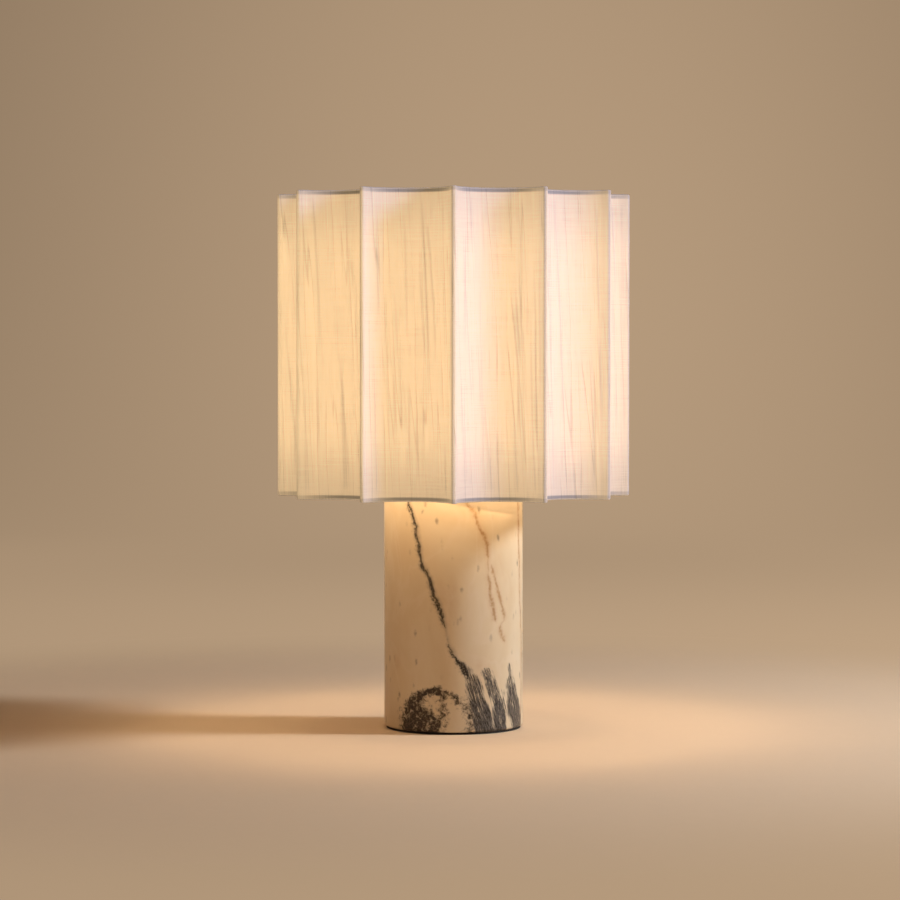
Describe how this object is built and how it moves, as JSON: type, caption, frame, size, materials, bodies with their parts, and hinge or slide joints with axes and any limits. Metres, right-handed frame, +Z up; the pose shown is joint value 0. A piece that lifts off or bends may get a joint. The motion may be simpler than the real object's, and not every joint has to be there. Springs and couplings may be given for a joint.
{
  "type": "table lamp",
  "caption": "Table lamp with a veined marble column, a harp over a screw-cap lampholder, and a fluted drum shade in linen.",
  "frame": {"origin": "middle of the foot pad's underside, on the tabletop", "axes": "+Z up along the column, -Y towards the front, where the switch knob points"},
  "size_m": [0.33, 0.33, 0.5],
  "materials": {
    "pad_foam": "black closed-cell foam",
    "zinc_steel": "zinc plated",
    "marble": "cream marble with grey-black and rust veins, honed",
    "black_rubber": "soft black",
    "lead_sheath": "white flexible sheath",
    "core_insulation": "insulated cores",
    "white_nylon": "moulded",
    "brass": "satin",
    "harp_brass": "brass plated steel",
    "screw_steel": "plain",
    "fibre": "pressed insulating board",
    "phenolic": "black moulding",
    "contact_metal": "rolled",
    "contact_brass": "stamped",
    "knob_plastic": "moulded black",
    "bulb_tin": "tinned",
    "bulb_glass_black": "insulator",
    "bulb_nickel": "nickel plated",
    "bulb_plastic": "white moulding",
    "opal": "opal diffuser",
    "board_white": "white coated circuit board with yellow emitters",
    "board_green": "circuit board",
    "frame_enamel": "white powder coat",
    "linen": "crinkled natural linen"
  },
  "bodies": {
    "stand": {"base_pad": "pad_foam", "base_plate": "zinc_steel", "bottom_nut": "zinc_steel", "bottom_washer": "zinc_steel", "cable_bush": "black_rubber", "centre_contact": "contact_brass", "clip_screw": "zinc_steel", "cord_clip": "white_nylon", "holder_body": "phenolic", "holder_liner": "fibre", "inner_lead": "lead_sheath", "lamp_tube": "zinc_steel", "lead_cores": "core_insulation", "marble_column": "marble", "screw_shell": "contact_metal", "terminal_screws": "contact_brass", "check_ring": "brass", "top_nut": "brass", "holder_cap": "brass", "holder_set_screw": "screw_steel", "holder_shell": "brass", "switch_bush": "brass", "harp_saddle": "harp_brass"},
    "switch": {"switch_spindle": "screw_steel", "switch_knob": "knob_plastic"},
    "bulb": {"bulb_cap": "bulb_nickel", "bulb_contact": "bulb_tin", "bulb_driver_board": "board_green", "bulb_globe": "opal", "bulb_housing": "bulb_plastic", "bulb_insulator": "bulb_glass_black", "bulb_led_board": "board_white"},
    "harp": {"harp_wire": "harp_brass", "harp_crown": "harp_brass", "crown_grub_screw": "screw_steel"},
    "left_ferrule": {"ferrule_left": "harp_brass"},
    "right_ferrule": {"ferrule_right": "harp_brass"},
    "stud": {"harp_stud": "brass"},
    "shade": {"shade_spider": "frame_enamel", "shade_top_ring": "frame_enamel", "shade_bottom_ring": "frame_enamel", "shade_struts": "frame_enamel", "cover_panel_01": "linen", "cover_panel_02": "linen", "cover_panel_03": "linen", "cover_panel_04": "linen", "cover_panel_05": "linen", "cover_panel_06": "linen", "cover_panel_07": "linen", "cover_panel_08": "linen", "cover_panel_09": "linen", "cover_panel_10": "linen", "cover_panel_11": "linen", "cover_panel_12": "linen"},
    "lock_washer": {"finial_washer": "brass"},
    "finial": {"finial": "brass"}
  },
  "joints": [
    {"name": "knob_turn", "type": "hinge", "parent": "stand", "child": "switch", "pos_m": [0, -0.02, 0.265], "axis": [0, -1, 0], "continuous": true},
    {"name": "bulb_unscrew", "type": "slide", "parent": "stand", "child": "bulb", "axis": [0, 0, 1], "range_m": [0, 0.035]},
    {"name": "harp_lift", "type": "slide", "parent": "stand", "child": "harp", "axis": [0, 0, 1], "range_m": [0, 0.03]},
    {"name": "ferrule_left_slide", "type": "slide", "parent": "harp", "child": "left_ferrule", "axis": [0, 0, 1], "range_m": [0, 0.012]},
    {"name": "ferrule_right_slide", "type": "slide", "parent": "harp", "child": "right_ferrule", "axis": [0, 0, 1], "range_m": [0, 0.012]},
    {"name": "stud_swivel", "type": "hinge", "parent": "harp", "child": "stud", "pos_m": [0, 0, 0.47], "axis": [0, 0, 1], "continuous": true},
    {"name": "shade_lift", "type": "slide", "parent": "stud", "child": "shade", "axis": [0, 0, 1], "range_m": [0, 0.3]},
    {"name": "finial_rise", "type": "slide", "parent": "shade", "child": "lock_washer", "axis": [0, 0, 1], "range_m": [0, 0.0115]},
    {"name": "finial_turn", "type": "hinge", "parent": "lock_washer", "child": "finial", "pos_m": [0, 0, 0.488], "axis": [0, 0, 1], "range_deg": [0, 4320]}
  ],
  "couplings": [
    {"joint": "finial_rise", "follows": "finial_turn", "m_per_rad": 0.00014961}
  ]
}
